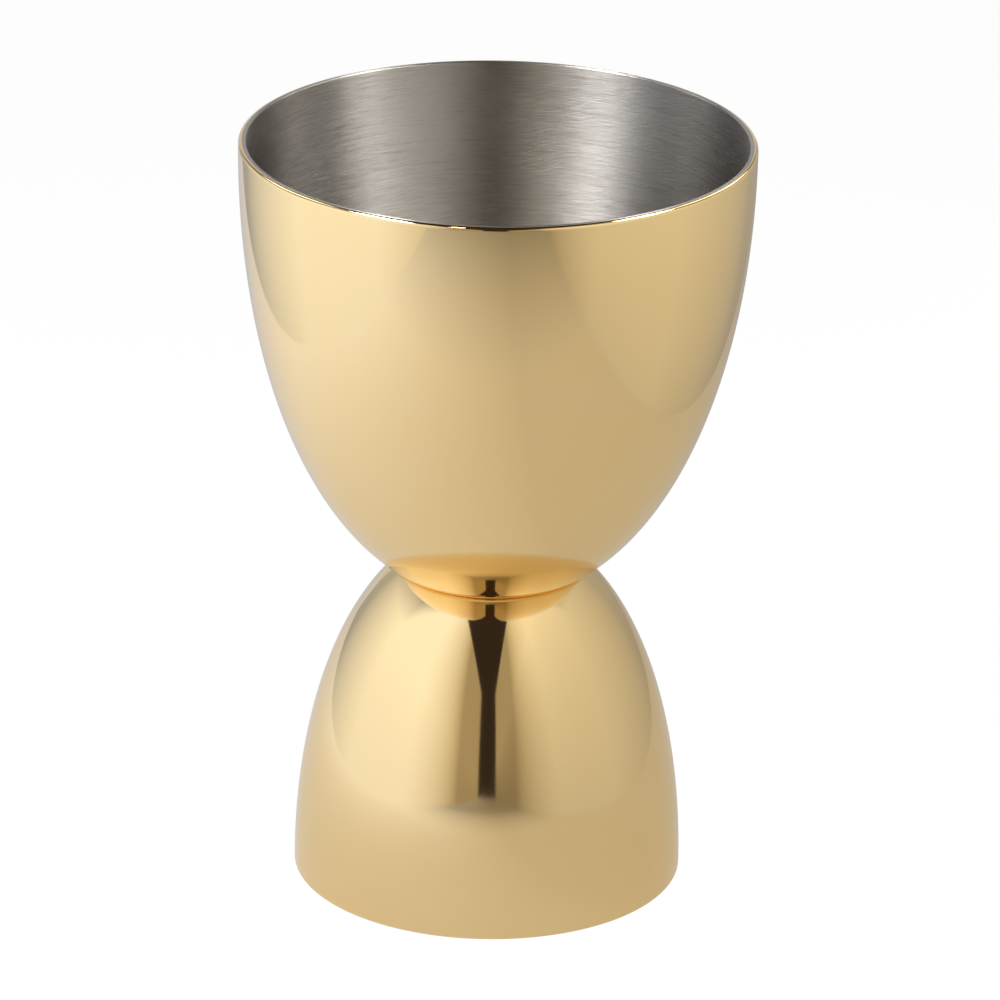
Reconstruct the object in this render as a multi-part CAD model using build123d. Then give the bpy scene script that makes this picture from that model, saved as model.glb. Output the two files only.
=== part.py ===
from build123d import *

import os
from math import hypot

# A double bell jigger: two drawn cups of one sheet thickness, welded bottom to bottom.
# Units are millimetres. The origin is the centre of the small cup's rim, on which the
# jigger stands, and +Z runs up the axis to the large cup's mouth.

# Driving dimensions
overall_height = 78.8
small_cup_height = 33.2
large_rim_radius = 26.0
small_rim_radius = 20.0
waist_radius = 9.6
wall = 0.8

# The bell outline is a superellipse quarter with its long axis up the cup. The exponents
# set how full the flank is and how fast it turns in towards the waist.
large_bell_exponents = (2.10, 2.20)
small_bell_exponents = (2.05, 2.30)
outline_points = 25

# Small radii and the weld
lip_outer_radius = 0.38
lip_inner_radius = 0.12
bottom_corner_radius = 1.0
floor_corner_radius = 1.6
weld_radius = 3.0
weld_half_thickness = 0.35

large_cup_height = overall_height - small_cup_height


class Bell:
    """The outline of one cup, by its height above the bottom and its distance from the axis."""

    def __init__(self, height, rim_radius, exponents):
        self.height = height
        self.rim_radius = rim_radius
        self.fall, self.fullness = exponents
        closing = 1 - (waist_radius / rim_radius) ** self.fullness
        self.depth_at_waist = closing ** (1 / self.fall)

    def point(self, depth, inset=0.0):
        """The wall's (radius, height) at a depth of 0 at the rim, square to the wall by inset."""
        inner = 1 - depth**self.fall
        radius = self.rim_radius * inner ** (1 / self.fullness)
        height = self.height * (1 - depth / self.depth_at_waist)
        bend = self.fall * depth ** (self.fall - 1) / self.fullness
        radial_run = -bend * self.rim_radius * inner ** (1 / self.fullness - 1)
        vertical_run = -self.height / self.depth_at_waist
        length = hypot(radial_run, vertical_run)
        radius += inset * vertical_run / length
        height -= inset * radial_run / length
        return radius, height

    def depth_of_height(self, height, inset):
        """The depth at which the wall, moved in by inset, reaches a height."""
        low, high = 0.0, self.depth_at_waist
        for _ in range(60):
            middle = (low + high) / 2
            if self.point(middle, inset)[1] > height:
                low = middle
            else:
                high = middle
        return low

    def curve(self, deepest, inset):
        """The wall's line from the rim to its deepest point, as one spline."""
        points = []
        for i in range(outline_points):
            radius, height = self.point(deepest * i / (outline_points - 1), inset)
            points.append((radius, 0, height))
        return Spline(*points)


def edges_at(solid, height, radius):
    """The round edges of a cup that lie at a height and at a radius."""
    found = []
    for edge in solid.edges().filter_by(GeomType.CIRCLE):
        centre = edge.arc_center
        if abs(centre.Z - height) < 0.01 and abs(edge.radius - radius) < 0.01:
            found.append(edge)
    return found


def drawn_cup(bell):
    """One cup with its bottom on the plane z = 0 and its mouth up."""
    outside = bell.curve(bell.depth_at_waist, 0)
    inside = bell.curve(bell.depth_of_height(wall, wall), wall)
    lip = Line(outside @ 0, inside @ 0)
    bottom = Line(outside @ 1, (0, 0, 0))
    axis = Line((0, 0, 0), (0, 0, wall))
    floor = Line((0, 0, wall), inside @ 1)
    section = Face(Wire([outside, bottom, axis, floor, inside, lip]))
    cup = revolve(section, Axis.Z)
    rounded = (
        (wall, (inside @ 1).X, floor_corner_radius),
        (0, waist_radius, bottom_corner_radius),
        (bell.height, bell.rim_radius, lip_outer_radius),
        (bell.height, bell.rim_radius - wall, lip_inner_radius),
    )
    for height, radius, rounding in rounded:
        cup = fillet(edges_at(cup, height, radius), rounding)
    return cup


def weld_nugget():
    """A lens of weld metal, half above and half below the plane where the bottoms meet."""
    sphere_radius = (weld_radius**2 + weld_half_thickness**2) / (2 * weld_half_thickness)
    centre_height = sphere_radius - weld_half_thickness
    upper_face = Pos(0, 0, -centre_height) * Sphere(sphere_radius)
    lower_face = Pos(0, 0, centre_height) * Sphere(sphere_radius)
    return upper_face & lower_face


large_bell = Bell(large_cup_height, large_rim_radius, large_bell_exponents)
small_bell = Bell(small_cup_height, small_rim_radius, small_bell_exponents)
at_waist = Location((0, 0, small_cup_height))
mouth_down = Location((0, 0, 0), (180, 0, 0))

nugget = weld_nugget()
parts = {
    "large_cup": at_waist * (drawn_cup(large_bell) - nugget),
    "small_cup": at_waist * mouth_down * (drawn_cup(small_bell) - nugget),
    "waist_weld": at_waist * nugget,
}

os.makedirs("parts", exist_ok=True)
for name, solid in parts.items():
    export_step(solid, f"parts/{name}.step")
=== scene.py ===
from math import atan2, cos, hypot, pi, sin

import bpy
from mathutils import Matrix, Vector


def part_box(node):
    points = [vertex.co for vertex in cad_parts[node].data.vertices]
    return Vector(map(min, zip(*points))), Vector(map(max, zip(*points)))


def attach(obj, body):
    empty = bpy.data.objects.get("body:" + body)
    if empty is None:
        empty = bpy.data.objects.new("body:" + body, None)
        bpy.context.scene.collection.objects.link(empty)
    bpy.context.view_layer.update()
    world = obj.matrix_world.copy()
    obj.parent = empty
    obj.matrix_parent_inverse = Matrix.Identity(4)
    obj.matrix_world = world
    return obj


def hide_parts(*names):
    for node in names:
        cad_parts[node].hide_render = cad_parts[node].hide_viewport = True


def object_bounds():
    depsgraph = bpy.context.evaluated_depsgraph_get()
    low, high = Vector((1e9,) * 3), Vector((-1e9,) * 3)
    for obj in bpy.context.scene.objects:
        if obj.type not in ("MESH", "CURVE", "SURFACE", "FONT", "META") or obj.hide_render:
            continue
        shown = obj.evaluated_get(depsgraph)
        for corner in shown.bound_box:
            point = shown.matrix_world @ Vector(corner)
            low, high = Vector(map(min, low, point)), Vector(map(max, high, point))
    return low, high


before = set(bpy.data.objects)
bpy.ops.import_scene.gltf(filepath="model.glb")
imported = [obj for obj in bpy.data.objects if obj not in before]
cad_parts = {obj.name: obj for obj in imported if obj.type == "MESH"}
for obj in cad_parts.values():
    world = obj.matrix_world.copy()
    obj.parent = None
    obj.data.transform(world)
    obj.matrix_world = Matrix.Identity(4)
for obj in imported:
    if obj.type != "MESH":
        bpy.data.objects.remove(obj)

cad_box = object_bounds()

# ------------------------------------------------------------------ dimensions, in metres
MM = 0.001
large_low, large_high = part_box("large_cup")
small_low, small_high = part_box("small_cup")
weld_low, weld_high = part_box("waist_weld")


def half_width(low, high):
    """The largest radius that stays inside a CAD node's box."""
    return min(high.x - low.x, high.y - low.y) / 2


waist_height = small_high.z
large_rim_radius = half_width(large_low, large_high)
small_rim_radius = half_width(small_low, small_high)
large_cup_height = large_high.z - waist_height
small_cup_height = waist_height - small_low.z
weld_radius = half_width(weld_low, weld_high)
weld_half_thickness = (weld_high.z - weld_low.z) / 2

waist_radius = 9.6 * MM
wall = 0.8 * MM
large_bell_exponents = (2.10, 2.20)
small_bell_exponents = (2.05, 2.30)
lip_outer_radius = 0.38 * MM
lip_inner_radius = 0.12 * MM
bottom_corner_radius = 1.0 * MM
floor_corner_radius = 1.6 * MM

# How finely the cups are turned
turn_steps = 320
wall_steps = 110
corner_steps = 8
depth_halvings = 50
on_axis = 1e-6 * MM
shortest_step = 0.0005 * MM

# A face's material, by its place among the cup's materials
GOLD, STEEL = 0, 1


# ------------------------------------------------------------------ the cups
class Bell:
    """The outline of one cup, by its height above the bottom and its distance from the axis."""

    def __init__(self, height, rim_radius, exponents):
        self.height = height
        self.rim_radius = rim_radius
        self.fall, self.fullness = exponents
        closing = 1 - (waist_radius / rim_radius) ** self.fullness
        self.depth_at_waist = closing ** (1 / self.fall)

    def outward(self, depth):
        """The unit vector square to the wall, away from the axis."""
        inner = 1 - depth**self.fall
        bend = self.fall * depth ** (self.fall - 1) / self.fullness
        radial_run = -bend * self.rim_radius * inner ** (1 / self.fullness - 1)
        vertical_run = -self.height / self.depth_at_waist
        length = hypot(radial_run, vertical_run)
        return -vertical_run / length, radial_run / length

    def point(self, depth, inset=0.0):
        """The wall's (radius, height) at a depth of 0 at the rim, square to the wall by inset."""
        radius = self.rim_radius * (1 - depth**self.fall) ** (1 / self.fullness)
        height = self.height * (1 - depth / self.depth_at_waist)
        out_r, out_h = self.outward(depth)
        return radius - inset * out_r, height - inset * out_h

    def depth_of_height(self, height, inset):
        """The depth at which the wall, moved in by inset, reaches a height."""
        low, high = 0.0, self.depth_at_waist
        for _ in range(depth_halvings):
            middle = (low + high) / 2
            if self.point(middle, inset)[1] > height:
                low = middle
            else:
                high = middle
        return low


def corner(centre, radius, start, end, side, finish):
    """Outline points on an arc about centre, from one direction to another.

    side is 1 where the metal is inside the arc and -1 where it is outside it."""
    points = []
    for i in range(corner_steps + 1):
        angle = start + (end - start) * i / corner_steps
        out_r, out_h = cos(angle), sin(angle)
        place = (centre[0] + radius * out_r, centre[1] + radius * out_h)
        points.append((place, (side * out_r, side * out_h), finish))
    return points


def flat(start, end, up, finish):
    """The two ends of a level stretch of the outline."""
    return [(start, (0, up), finish), (end, (0, up), finish)]


def bell_side(bell, shallow, deep, inset, finish):
    """Outline points down one side of the wall, at even steps of depth."""
    side = -1 if inset else 1
    points = []
    for i in range(wall_steps + 1):
        depth = shallow + (deep - shallow) * i / wall_steps
        out_r, out_h = bell.outward(depth)
        points.append((bell.point(depth, inset), (side * out_r, side * out_h), finish))
    return points


def weld_seat():
    """The hollow in the bottom that holds half of the weld, from the axis outwards."""
    sphere = (weld_radius**2 + weld_half_thickness**2) / (2 * weld_half_thickness)
    centre = (0, weld_half_thickness - sphere)
    edge = atan2(-centre[1], weld_radius)
    return corner(centre, sphere, pi / 2, edge, -1, STEEL)


def outline(bell):
    """The whole section of a cup: up the outside from the axis, over the lip, down the inside."""
    foot_depth = bell.depth_of_height(bottom_corner_radius, bottom_corner_radius)
    foot_centre = bell.point(foot_depth, bottom_corner_radius)
    foot_out = bell.outward(foot_depth)
    floor_inset = wall + floor_corner_radius
    floor_depth = bell.depth_of_height(wall + floor_corner_radius, floor_inset)
    floor_centre = bell.point(floor_depth, floor_inset)
    floor_out = bell.outward(floor_depth)
    outer_depth = bell.depth_of_height(bell.height - lip_outer_radius, lip_outer_radius)
    inner_inset = wall - lip_inner_radius
    inner_depth = bell.depth_of_height(bell.height - lip_inner_radius, inner_inset)
    outer_centre = bell.point(outer_depth, lip_outer_radius)
    inner_centre = bell.point(inner_depth, inner_inset)
    foot_angle = atan2(foot_out[1], foot_out[0])
    floor_angle = atan2(floor_out[1], floor_out[0])
    outside = bell_side(bell, outer_depth, foot_depth, 0, GOLD)

    points = weld_seat()
    points += flat((weld_radius, 0), (foot_centre[0], 0), -1, STEEL)
    points += corner(foot_centre, bottom_corner_radius, -pi / 2, foot_angle, 1, GOLD)
    points += outside[::-1]
    points += corner(outer_centre, lip_outer_radius, 0, pi / 2, 1, GOLD)
    points += flat((outer_centre[0], bell.height), (inner_centre[0], bell.height), 1, STEEL)
    points += corner(inner_centre, lip_inner_radius, pi / 2, pi, 1, STEEL)
    points += bell_side(bell, inner_depth, floor_depth, wall, STEEL)
    points += corner(floor_centre, floor_corner_radius, floor_angle, -pi / 2, -1, STEEL)
    points += flat((floor_centre[0], wall), (0, wall), 1, STEEL)
    return without_repeats(points)


def without_repeats(points):
    """Drops a point that lies on the one before it, which happens where two stretches meet."""
    kept = [points[0]]
    for point in points[1:]:
        step = hypot(point[0][0] - kept[-1][0][0], point[0][1] - kept[-1][0][1])
        if step > shortest_step:
            kept.append(point)
    return kept


def turned_cup(name, bell, mouth):
    """A closed cup turned from its outline. mouth is 1 for mouth up and -1 for mouth down."""
    section = outline(bell)
    places, normals, lengths, faces, finishes = [], [], [], [], []
    length = 0.0
    before = section[0][0]
    rings = []
    for (radius, height), (out_r, out_h), _ in section:
        length += hypot(radius - before[0], height - before[1])
        before = (radius, height)
        count = 1 if radius < on_axis else turn_steps
        rings.append((len(places), count))
        for i in range(count):
            angle = 2 * pi * i / turn_steps
            z = waist_height + mouth * height
            places.append((radius * cos(angle), mouth * radius * sin(angle), z))
            normals.append((out_r * cos(angle), mouth * out_r * sin(angle), mouth * out_h))
            lengths.append(length)
    for k in range(len(section) - 1):
        (low, low_count), (high, high_count) = rings[k], rings[k + 1]
        for i in range(turn_steps):
            j = (i + 1) % turn_steps
            if low_count == 1:
                faces.append((low, high + j, high + i))
            elif high_count == 1:
                faces.append((low + i, low + j, high))
            else:
                faces.append((low + i, low + j, high + j, high + i))
            finishes.append(section[k + 1][2])
    mesh = bpy.data.meshes.new(name)
    mesh.from_pydata(places, [], faces)
    mesh.polygons.foreach_set("material_index", finishes)
    mesh.polygons.foreach_set("use_smooth", [True] * len(faces))
    along = mesh.attributes.new("along", "FLOAT", "POINT")
    along.data.foreach_set("value", lengths)
    mesh.normals_split_custom_set_from_vertices(normals)
    cup = bpy.data.objects.new(name, mesh)
    bpy.context.scene.collection.objects.link(cup)
    return cup


# ------------------------------------------------------------------ materials
# Colours are linear red, green and blue. Each roughness is (smoothest, roughest).
gold_light = (0.96, 0.735, 0.385)
gold_deep = (0.95, 0.705, 0.345)
gold_roughness = (0.035, 0.075)
steel_dark = (0.33, 0.305, 0.275)
steel_light = (0.51, 0.485, 0.45)
steel_roughness = (0.31, 0.41)
weld_dark = (0.20, 0.19, 0.18)
weld_light = (0.42, 0.40, 0.38)
weld_roughness = (0.45, 0.75)

# Full anisotropy, a quarter turn from the tangent, spreads reflections up and down the wall
full_anisotropy = 1.0
quarter_turn = 0.25


class Nodes:
    """A material's node tree, with short calls to add and join nodes."""

    def __init__(self, name):
        self.material = bpy.data.materials.new(name)
        self.material.use_nodes = True
        self.tree = self.material.node_tree
        self.tree.nodes.clear()
        self.output = self.add("ShaderNodeOutputMaterial")

    def add(self, kind, settings=None, **values):
        """A node with its properties and its inputs set. An input may be a number or a socket."""
        node = self.tree.nodes.new(kind)
        for key, value in (settings or {}).items():
            setattr(node, key, value)
        for key, value in values.items():
            self.put(node, key.replace("_", " "), value)
        return node

    def put(self, node, key, value):
        """Sets or joins one input, by its name or its number."""
        socket = node.inputs[int(key) if key.isdigit() else key]
        if isinstance(value, bpy.types.NodeSocket):
            self.tree.links.new(value, socket)
        else:
            socket.default_value = value

    def show(self, shader):
        """Makes a shader node the one that the material shows."""
        self.tree.links.new(shader.outputs[0], self.output.inputs[0])

    def maths(self, operation, first, second=0.0, third=0.0):
        """The result of a Math node."""
        node = self.add("ShaderNodeMath", {"operation": operation})
        for i, value in enumerate((first, second, third)):
            self.put(node, str(i), value)
        return node.outputs[0]

    def plus(self, base, value, weight):
        """The base plus the value times its weight."""
        return self.maths("MULTIPLY_ADD", value, weight, base)

    def noise(self, vector, scale, detail=2.0, roughness=0.5):
        """The value of a noise texture at a vector."""
        node = self.add("ShaderNodeTexNoise", Scale=scale, Detail=detail, Roughness=roughness)
        self.put(node, "Vector", vector)
        return node.outputs["Fac"]

    def range(self, value, span, to_span=(0.0, 1.0)):
        """The value mapped from one span to another and held inside it."""
        node = self.add("ShaderNodeMapRange", Value=value)
        for i, number in enumerate((*span, *to_span)):
            self.put(node, str(i + 1), number)
        return node.outputs[0]

    def fade(self, level, value, start, end, far_level):
        """The level, left alone where the value is at start and times far_level from end on."""
        return self.maths("MULTIPLY", level, self.range(value, (start, end), (1.0, far_level)))

    def blend_colour(self, factor, first, second):
        """A colour between two colours."""
        node = self.add("ShaderNodeMix", {"data_type": "RGBA"})
        self.put(node, "0", factor)
        self.put(node, "6", (*first, 1))
        self.put(node, "7", (*second, 1))
        return node.outputs[2]

    def bump(self, height, strength, distance, below=None):
        """The normal bent by a height, over an earlier bump."""
        node = self.add("ShaderNodeBump", Strength=strength, Distance=distance, Height=height)
        if below is not None:
            self.put(node, "Normal", below)
        return node.outputs[0]

    def metal(self, colour, roughness, normal):
        """The metal shader that the material shows."""
        shader = self.add("ShaderNodeBsdfPrincipled", Base_Color=colour, Metallic=1.0)
        self.put(shader, "Roughness", roughness)
        self.put(shader, "Normal", normal)
        self.show(shader)
        return shader

    def both(self, first, second):
        """A shader node that adds the light of two shaders."""
        node = self.add("ShaderNodeAddShader")
        self.put(node, "0", first.outputs[0])
        self.put(node, "1", second.outputs[0])
        return node


def around(nodes, turns, fineness, lean):
    """Coordinates that change slowly round the cup and quickly along its wall.

    turns sets how often they change round the cup and fineness how often per metre of wall.
    lean tilts them along X and Y."""
    place = nodes.add("ShaderNodeNewGeometry").outputs["Position"]
    split = nodes.add("ShaderNodeSeparateXYZ", Vector=place).outputs
    flat_place = nodes.add("ShaderNodeCombineXYZ", X=split[0], Y=split[1]).outputs[0]
    unit = nodes.add("ShaderNodeVectorMath", {"operation": "NORMALIZE"})
    nodes.put(unit, "0", flat_place)
    direction = nodes.add("ShaderNodeSeparateXYZ", Vector=unit.outputs[0]).outputs
    along = nodes.add("ShaderNodeAttribute", {"attribute_name": "along"}).outputs["Fac"]
    level = nodes.plus(along, split[0], lean[0])
    level = nodes.plus(level, split[1], lean[1])
    x = nodes.maths("MULTIPLY", direction[0], turns)
    y = nodes.maths("MULTIPLY", direction[1], turns)
    z = nodes.maths("MULTIPLY", level, fineness)
    return nodes.add("ShaderNodeCombineXYZ", X=x, Y=y, Z=z).outputs[0]


def lines(nodes, turns, fineness, detail, roughness=0.5, lean=(0.0, 0.0)):
    """Fine lines round the cup, level ones or, with a lean, ones that cross the level ones."""
    return nodes.noise(around(nodes, turns, fineness, lean), 1, detail, roughness)


def polished_gold():
    """A mirror-polished gold coating: a trace of haze, buffing lines and a few hairlines."""
    nodes = Nodes("polished_gold")
    place = nodes.add("ShaderNodeTexCoord").outputs["Object"]
    haze = nodes.noise(place, scale=90, detail=3)
    buffing = lines(nodes, turns=5, fineness=9000, detail=2)
    hairs = lines(nodes, turns=14, fineness=14000, detail=1, lean=(0.35, -0.25))
    patches = nodes.range(nodes.noise(place, scale=210, detail=1), (0.58, 0.68))
    hair_lines = nodes.maths("MULTIPLY", nodes.range(hairs, (0.62, 0.72)), patches)
    undulation = nodes.noise(place, scale=60, detail=1)
    roughness = nodes.range(haze, (0.35, 0.7), gold_roughness)
    roughness = nodes.plus(roughness, buffing, weight=0.02)
    colour = nodes.blend_colour(haze, gold_light, gold_deep)
    bump = nodes.bump(undulation, strength=0.25, distance=0.05 * MM)
    bump = nodes.bump(buffing, strength=0.12, distance=0.002 * MM, below=bump)
    bump = nodes.bump(hair_lines, strength=0.25, distance=-0.002 * MM, below=bump)
    nodes.metal(colour, roughness, bump)
    return nodes.material


def brushed_steel():
    """Bare stainless steel, brushed round the cup, with crossing lines and short slanted ones."""
    nodes = Nodes("brushed_steel")
    place = nodes.add("ShaderNodeTexCoord").outputs["Object"]
    fine = lines(nodes, turns=6, fineness=6800, detail=4, roughness=0.7)
    broad = lines(nodes, turns=3, fineness=2200, detail=2, lean=(0.02, 0.01))
    crossing = lines(nodes, turns=14, fineness=6000, detail=3, roughness=0.65, lean=(0.12, -0.06))
    slanted = lines(nodes, turns=8, fineness=8000, detail=1, lean=(0.30, -0.12))
    patches = nodes.range(nodes.noise(place, scale=130, detail=1), (0.48, 0.60))
    slanted_lines = nodes.maths("MULTIPLY", nodes.range(slanted, (0.55, 0.68)), patches)
    height = nodes.plus(fine, crossing, weight=0.9)
    height = nodes.plus(height, broad, weight=0.5)
    bump = nodes.bump(height, strength=0.8, distance=0.024 * MM)
    bump = nodes.bump(slanted_lines, strength=0.8, distance=-0.009 * MM, below=bump)
    roughness = nodes.range(fine, (0.3, 0.7), steel_roughness)
    roughness = nodes.plus(roughness, slanted_lines, weight=0.06)
    tone = nodes.noise(place, scale=45, detail=2)
    shading = nodes.plus(nodes.maths("MULTIPLY", height, 0.42), tone, weight=0.4)
    colour = nodes.blend_colour(nodes.range(shading, (0.48, 0.78)), steel_dark, steel_light)
    tangent = nodes.add("ShaderNodeTangent", {"direction_type": "RADIAL", "axis": "Z"})
    shader = nodes.metal(colour, roughness, bump)
    nodes.put(shader, "Anisotropic", full_anisotropy)
    nodes.put(shader, "Anisotropic Rotation", quarter_turn)
    nodes.put(shader, "Tangent", tangent.outputs[0])
    return nodes.material


def weld_metal():
    """The dull, pitted grey of a resistance weld."""
    nodes = Nodes("weld_metal")
    place = nodes.add("ShaderNodeTexCoord").outputs["Object"]
    grain = nodes.noise(place, scale=2500, detail=4)
    colour = nodes.blend_colour(grain, weld_dark, weld_light)
    roughness = nodes.range(grain, (0.3, 0.7), weld_roughness)
    bump = nodes.bump(grain, strength=0.6, distance=0.02 * MM)
    nodes.metal(colour, roughness, bump)
    return nodes.material


# ------------------------------------------------------------------ the object
def make_object():
    """The two cups, each in place of its plain solid, and the weld between them."""
    gold = polished_gold()
    steel = brushed_steel()
    cups = (
        ("large_cup_turned", "large_cup", 1, large_cup_height, large_rim_radius, large_bell_exponents),
        ("small_cup_turned", "small_cup", -1, small_cup_height, small_rim_radius, small_bell_exponents),
    )
    for name, node, mouth, height, rim_radius, exponents in cups:
        cup = turned_cup(name, Bell(height, rim_radius, exponents), mouth)
        cup.data.materials.append(gold)
        cup.data.materials.append(steel)
        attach(cup, "root")
        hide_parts(node)
    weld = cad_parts["waist_weld"]
    weld.data.materials.clear()
    weld.data.materials.append(weld_metal())


# ------------------------------------------------------------------ the stage
# Two upright diffusers make a lane along Y, which the camera looks down. Lengths are in
# metres, from the axis and from the floor. rise and splay are per metre towards the front.
lane_back = 0.20
lane_left = {"side": -1, "near": 0.117, "splay": 0.0, "front": 1.152, "top": 0.322, "rise": 0.231}
lane_right = {"side": 1, "near": 0.080, "splay": 0.03, "front": 1.390, "top": 0.323, "rise": 0.275}
lamp_gap = 0.002
floor_radius = 3.0
floor_sides = 96
floor_gap = 0.02 * MM

# How each diffuser is lit. A fade is (from, to, level at its far end).
left_light = {
    "strength": 1.16,
    "colour": (0.95, 1.0, 1.12),
    "back_fade": (0.0, 0.14, 0.42),
    "front_fade": (-0.10, -0.36, 0.33),
    "foot_fade": (0.08, 0.0, 0.86),
    "top_level": 0.28,
}
right_light = {
    "strength": 0.95,
    "colour": (1.03, 1.0, 0.94),
    "back_fade": (-0.02, 0.09, 0.62),
    "front_fade": (-0.10, -0.30, 0.40),
    "foot_fade": (0.16, 0.0, 0.61),
    "top_level": 0.20,
}
far_colour = (1.05, 0.92, 0.70)

# Both diffusers darken upwards between two heights, which are higher further to the front
top_fade = (0.09, 0.15)
top_fade_rise = 1.6

# Painted light on the floor, a glow that it gives off in reflections and onto the object: how it goes
# from left to right, and how it fades to front and back
floor_across = (-0.12, 0.02)
floor_glow_levels = (0.86, 0.45)
floor_glow_left_colour = (0.95, 1.0, 1.16)
floor_glow_right_colour = (1.03, 0.98, 0.90)
floor_front_fade = (-0.10, -0.26, 0.36)
floor_back_fade = (0.04, 0.16, 0.78)
paper_dark = (0.235, 0.235, 0.235)
paper_light = (0.255, 0.255, 0.255)

# How the camera sees the floor: overexposed, so that only a trace of shadow shows
seen_glow = 0.97
seen_paper = (0.12, 0.12, 0.12, 1)

dim_surround = (0.032, 0.024, 0.022, 1)
white_surround = (1.0, 1.0, 1.0, 1)

# The camera, fitted to the photograph's perspective. Angles are in radians.
camera_distance = 26.484 * large_rim_radius
camera_pitch = 0.3828
camera_roll = 0.0171
camera_aim = Vector((0.0301 * large_rim_radius, 0, 1.5445 * large_rim_radius))
sensor_width = 36
lens_length = sensor_width * 6.7489
nearest_seen = 0.01


def camera_only(nodes, seen, lit):
    """One shader for what the camera sees directly, and another for light and reflections."""
    mix = nodes.add("ShaderNodeMixShader")
    nodes.put(mix, "0", nodes.add("ShaderNodeLightPath").outputs["Is Camera Ray"])
    nodes.put(mix, "1", lit.outputs[0])
    nodes.put(mix, "2", seen.outputs[0])
    nodes.show(mix)


def pale_floor():
    """A matt white sweep, overexposed for the camera. Elsewhere it glows with painted light, strongest
    on the left and fading to the front.
    """
    nodes = Nodes("pale_floor")
    place = nodes.add("ShaderNodeTexCoord").outputs["Object"]
    split = nodes.add("ShaderNodeSeparateXYZ", Vector=place).outputs
    paper = nodes.blend_colour(nodes.noise(place, scale=3, detail=2), paper_dark, paper_light)
    side = nodes.range(split[0], floor_across)
    level = nodes.range(side, (0.0, 1.0), floor_glow_levels)
    level = nodes.fade(level, split[1], *floor_front_fade)
    level = nodes.fade(level, split[1], *floor_back_fade)
    tint = nodes.blend_colour(side, floor_glow_left_colour, floor_glow_right_colour)
    matt = nodes.add("ShaderNodeBsdfDiffuse", Color=paper)
    # Painted light: the floor glows in reflections and onto the object, brightest on the left
    painted_glow = nodes.add("ShaderNodeEmission", Color=tint, Strength=level)
    faint = nodes.add("ShaderNodeBsdfDiffuse", Color=seen_paper)
    glow = nodes.add("ShaderNodeEmission", Strength=seen_glow)
    camera_only(nodes, nodes.both(faint, glow), nodes.both(matt, painted_glow))
    return nodes.material


def sheet_mesh(name, corners, material, seen=False):
    """A flat stage piece with the given corners."""
    mesh = bpy.data.meshes.new(name)
    mesh.from_pydata(corners, [], [list(range(len(corners)))])
    mesh.materials.append(material)
    piece = bpy.data.objects.new(name, mesh)
    piece.visible_camera = seen
    bpy.context.scene.collection.objects.link(piece)
    return piece


def make_floor():
    """A round floor under the object."""
    level = cad_box[0][2] - floor_gap
    ring = []
    for i in range(floor_sides):
        angle = 2 * pi * i / floor_sides
        ring.append((floor_radius * cos(angle), floor_radius * sin(angle), level))
    sheet_mesh("floor", ring, pale_floor(), seen=True)


def lane_glow(name, light):
    """A diffuser lit from outside, dimmer at its ends, its foot and its top."""
    nodes = Nodes(name)
    place = nodes.add("ShaderNodeNewGeometry").outputs["Position"]
    split = nodes.add("ShaderNodeSeparateXYZ", Vector=place).outputs
    ahead = nodes.maths("MINIMUM", split[1], 0.0)
    level = nodes.fade(light["strength"], split[1], *light["back_fade"])
    level = nodes.fade(level, split[1], *light["front_fade"])
    level = nodes.fade(level, split[2], *light["foot_fade"])
    level = nodes.fade(level, nodes.plus(split[2], ahead, top_fade_rise), *top_fade, light["top_level"])
    full, far, _ = light["front_fade"]
    tint = nodes.blend_colour(nodes.range(split[1], (far, full)), far_colour, light["colour"])
    nodes.show(nodes.add("ShaderNodeEmission", Color=tint, Strength=level))
    return nodes.material


def make_lane_side(name, lane, material):
    """One diffuser. Its top rises towards the front, and it may splay away from the axis."""
    front = -lane["front"]
    corners = []
    for y, on_top in ((lane_back, False), (front, False), (front, True), (lane_back, True)):
        x = lane["side"] * (lane["near"] + lane["splay"] * max(0.0, -y))
        z = lane["top"] - lane["rise"] * y if on_top else 0.0
        corners.append((x, y, z))
    sheet_mesh(name, corners, material)


def plain_glow(name, strength, colour):
    """An even lamp face."""
    nodes = Nodes(name)
    nodes.show(nodes.add("ShaderNodeEmission", Color=(*colour, 1), Strength=strength))
    return nodes.material


def make_panel(name, start, end, heights, face):
    """An upright face between two places. It shows in the metal and leaves the floor unlit."""
    low, high = heights
    corners = [(*start, low), (*end, low), (*end, high), (*start, high)]
    sheet_mesh(name, corners, face).visible_diffuse = False


def make_lamp(name, lane, along, heights, face):
    """A lamp face just inside a diffuser."""
    x = lane["side"] * (lane["near"] - lamp_gap)
    make_panel(name, (x, along[0]), (x, along[1]), heights, face)


def make_card(name, y, across, heights, face):
    """A card that faces the object from in front or from behind."""
    make_panel(name, (across[0], y), (across[1], y), heights, face)


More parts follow.
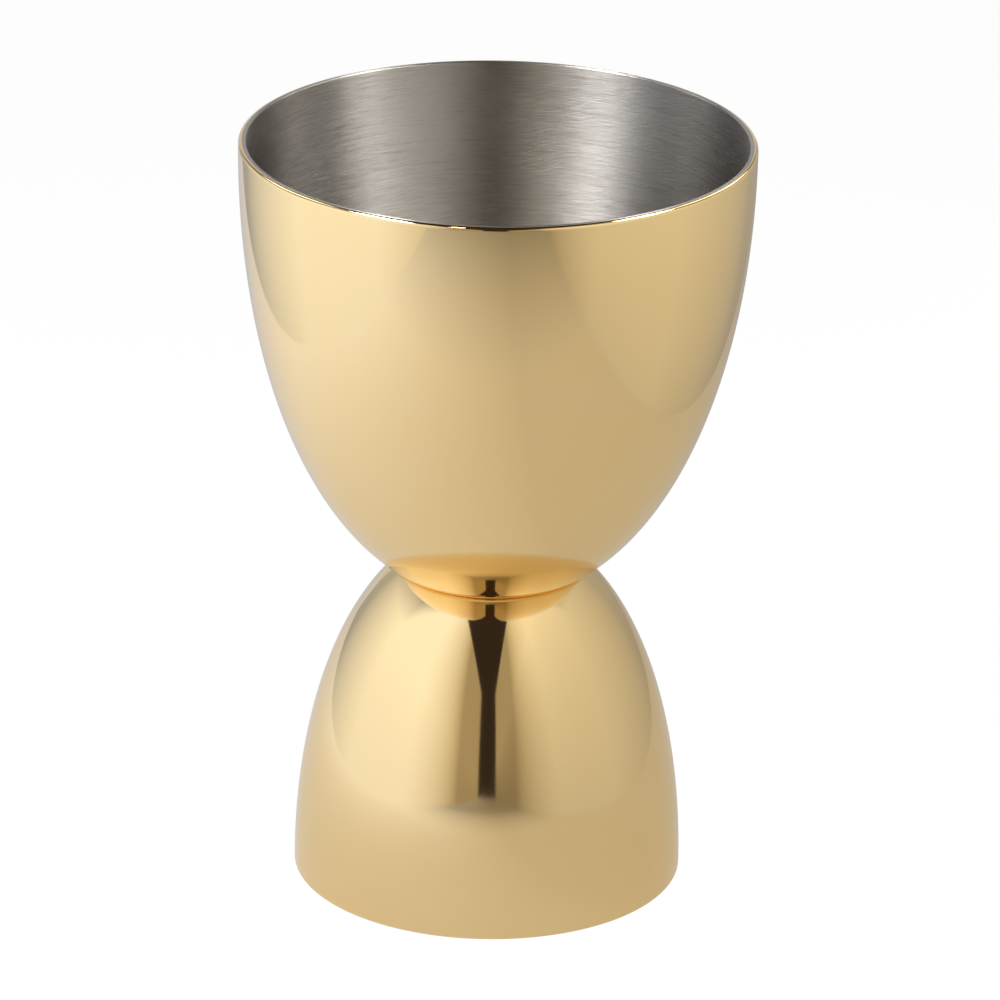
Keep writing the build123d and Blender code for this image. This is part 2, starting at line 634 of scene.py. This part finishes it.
def make_world():
    """A white surround for the camera and a dim warm one for light and reflections."""
    world = bpy.data.worlds.new("studio")
    bpy.context.scene.world = world
    world.use_nodes = True
    tree = world.node_tree
    dim = tree.nodes["Background"]
    dim.inputs["Color"].default_value = dim_surround
    white = tree.nodes.new("ShaderNodeBackground")
    white.inputs["Color"].default_value = white_surround
    path = tree.nodes.new("ShaderNodeLightPath")
    mix = tree.nodes.new("ShaderNodeMixShader")
    tree.links.new(path.outputs["Is Camera Ray"], mix.inputs[0])
    tree.links.new(dim.outputs[0], mix.inputs[1])
    tree.links.new(white.outputs[0], mix.inputs[2])
    tree.links.new(mix.outputs[0], tree.nodes["World Output"].inputs[0])


def make_camera():
    """The camera at the photograph's angle: a long lens, looking down, rolled by a degree."""
    camera = bpy.data.objects.new("camera", bpy.data.cameras.new("camera"))
    camera.data.sensor_width = sensor_width
    camera.data.lens = lens_length
    camera.data.clip_start = nearest_seen
    back = Vector((0, -cos(camera_pitch), sin(camera_pitch)))
    camera.location = camera_aim + camera_distance * back
    camera.rotation_euler = (pi / 2 - camera_pitch, 0, 0)
    bpy.context.scene.collection.objects.link(camera)
    bpy.context.view_layer.update()
    camera.matrix_world = camera.matrix_world @ Matrix.Rotation(camera_roll, 4, "Z")
    bpy.context.scene.camera = camera


def make_lamps():
    """The lamps and cards that give the metal its bright bands and its soft back light."""
    white = plain_glow("left_lamp_face", 44.0, (1, 1, 1))
    pale = plain_glow("right_lamp_face", 40.0, (1, 0.98, 0.95))
    faint = plain_glow("side_lamp_face", 4.0, (1, 0.97, 0.93))
    warm = plain_glow("warm_lamp_face", 26.0, (1.0, 0.90, 0.72))
    soft = plain_glow("back_card_face", 0.62, (1.0, 0.98, 1.0))
    make_lamp("left_lamp", lane_left, along=(-0.076, 0.020), heights=(0.245, 0.335), face=white)
    make_lamp("right_lamp", lane_right, along=(-0.004, 0.024), heights=(0.165, 0.225), face=pale)
    make_lamp("left_side_lamp", lane_left, along=(0.060, 0.110), heights=(0.16, 0.26), face=faint)
    make_lamp("right_side_lamp", lane_right, along=(0.046, 0.090), heights=(0.12, 0.20), face=faint)
    make_card("warm_lamp", y=-0.20, across=(-0.122, -0.086), heights=(0.50, 0.62), face=warm)
    make_card("back_card", y=0.55, across=(-0.65, 0.65), heights=(0.0, 0.42), face=soft)


def make_stage():
    """Floor, diffusers, lamps, surround, camera and the picture's tone."""
    make_floor()
    make_lane_side("left_diffuser", lane_left, lane_glow("left_glow", left_light))
    make_lane_side("right_diffuser", lane_right, lane_glow("right_glow", right_light))
    make_lamps()
    make_world()
    make_camera()
    bpy.context.scene.view_settings.view_transform = "Standard"


make_object()
make_stage()
